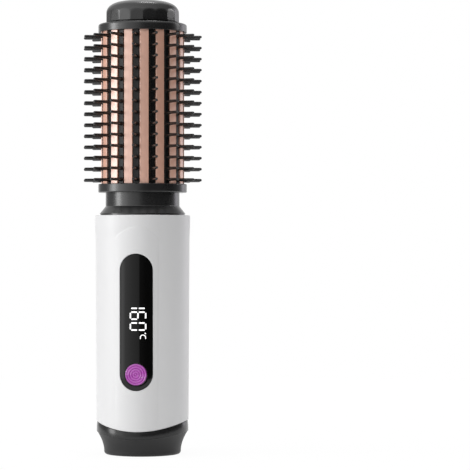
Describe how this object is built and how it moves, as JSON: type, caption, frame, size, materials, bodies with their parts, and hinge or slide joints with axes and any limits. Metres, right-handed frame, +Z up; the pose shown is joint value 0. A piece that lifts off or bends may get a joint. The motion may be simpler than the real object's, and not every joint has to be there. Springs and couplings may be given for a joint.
{
  "type": "heated round brush",
  "caption": "Cordless round hair brush with a heated ribbed barrel, rows of stiff pins, a cool tip, a handle with a lit display and a push button, and a charging port in its foot.",
  "frame": {"origin": "middle of the foot's underside, on the surface the brush stands on", "axes": "+Z up along the brush's axis from the foot to the cool tip; the control window and the button face -Y; +X to the right as seen from the front"},
  "size_m": [0.0562, 0.0562, 0.213],
  "materials": {
    "gloss_black": "gloss",
    "bristle_black": "satin",
    "rose_gold": "satin",
    "handle_white": "satin",
    "window_black": "gloss",
    "display_light": "gloss",
    "button_purple": "gloss",
    "band_black": "gloss",
    "base_grey": "matte",
    "inner_plastic": "matte",
    "device_black": "satin",
    "bare_aluminium": "satin",
    "steel": "satin",
    "ceramic_white": "matte",
    "film_amber": "satin",
    "sensor_bead": "gloss",
    "lead_red": "satin",
    "lead_black": "satin",
    "board_green": "satin",
    "ferrite": "matte",
    "connector_white": "matte",
    "cell_wrap": "satin",
    "foam": "matte"
  },
  "bodies": {
    "body": {"cool_tip": "gloss_black", "tip_collar": "gloss_black", "barrel_base_ring": "gloss_black", "neck_collar": "gloss_black", "bristle_strip_01": "bristle_black", "bristle_strip_02": "bristle_black", "bristle_strip_03": "bristle_black", "bristle_strip_04": "bristle_black", "bristle_strip_05": "bristle_black", "bristle_strip_06": "bristle_black", "bristle_strip_07": "bristle_black", "bristle_strip_08": "bristle_black", "bristle_strip_09": "bristle_black", "bristle_strip_10": "bristle_black", "bristle_strip_11": "bristle_black", "bristle_strip_12": "bristle_black", "bristle_strip_13": "bristle_black", "bristle_strip_14": "bristle_black", "bristle_strip_15": "bristle_black", "bristle_strip_16": "bristle_black", "heat_barrel": "rose_gold", "handle_shell": "handle_white", "control_window": "window_black", "display_segments": "display_light", "base_ring": "band_black", "base_cap": "base_grey", "inner_chassis": "inner_plastic", "button_guide": "inner_plastic", "tact_switch": "device_black", "display_module": "device_black", "controller_chip": "device_black", "power_mosfets": "device_black", "charge_parts": "device_black", "heat_spreader_front": "bare_aluminium", "heat_spreader_rear": "bare_aluminium", "filter_capacitors": "bare_aluminium", "tie_bolts": "steel", "tie_nuts": "steel", "neck_screws": "steel", "board_screws": "steel", "base_screws": "steel", "cell_tabs": "steel", "usb_c_socket": "steel", "ceramic_heater": "ceramic_white", "thermal_fuse": "ceramic_white", "insulation_film": "film_amber", "temperature_sensor": "sensor_bead", "heater_leads": "lead_red", "battery_leads": "lead_red", "charge_leads": "lead_red", "sensor_leads": "lead_black", "control_board": "board_green", "charge_board": "board_green", "boost_inductor": "ferrite", "lead_connectors": "connector_white", "battery_cell_left": "cell_wrap", "battery_cell_right": "cell_wrap", "cell_pads": "foam"},
    "button": {"power_button": "button_purple", "switch_plunger": "device_black"}
  },
  "joints": [
    {"name": "button_press", "type": "slide", "parent": "body", "child": "button", "axis": [0, 1, 0], "range_m": [0, 0.0005], "stiffness_N_per_m": 3000, "springref_m": -0.0003}
  ]
}
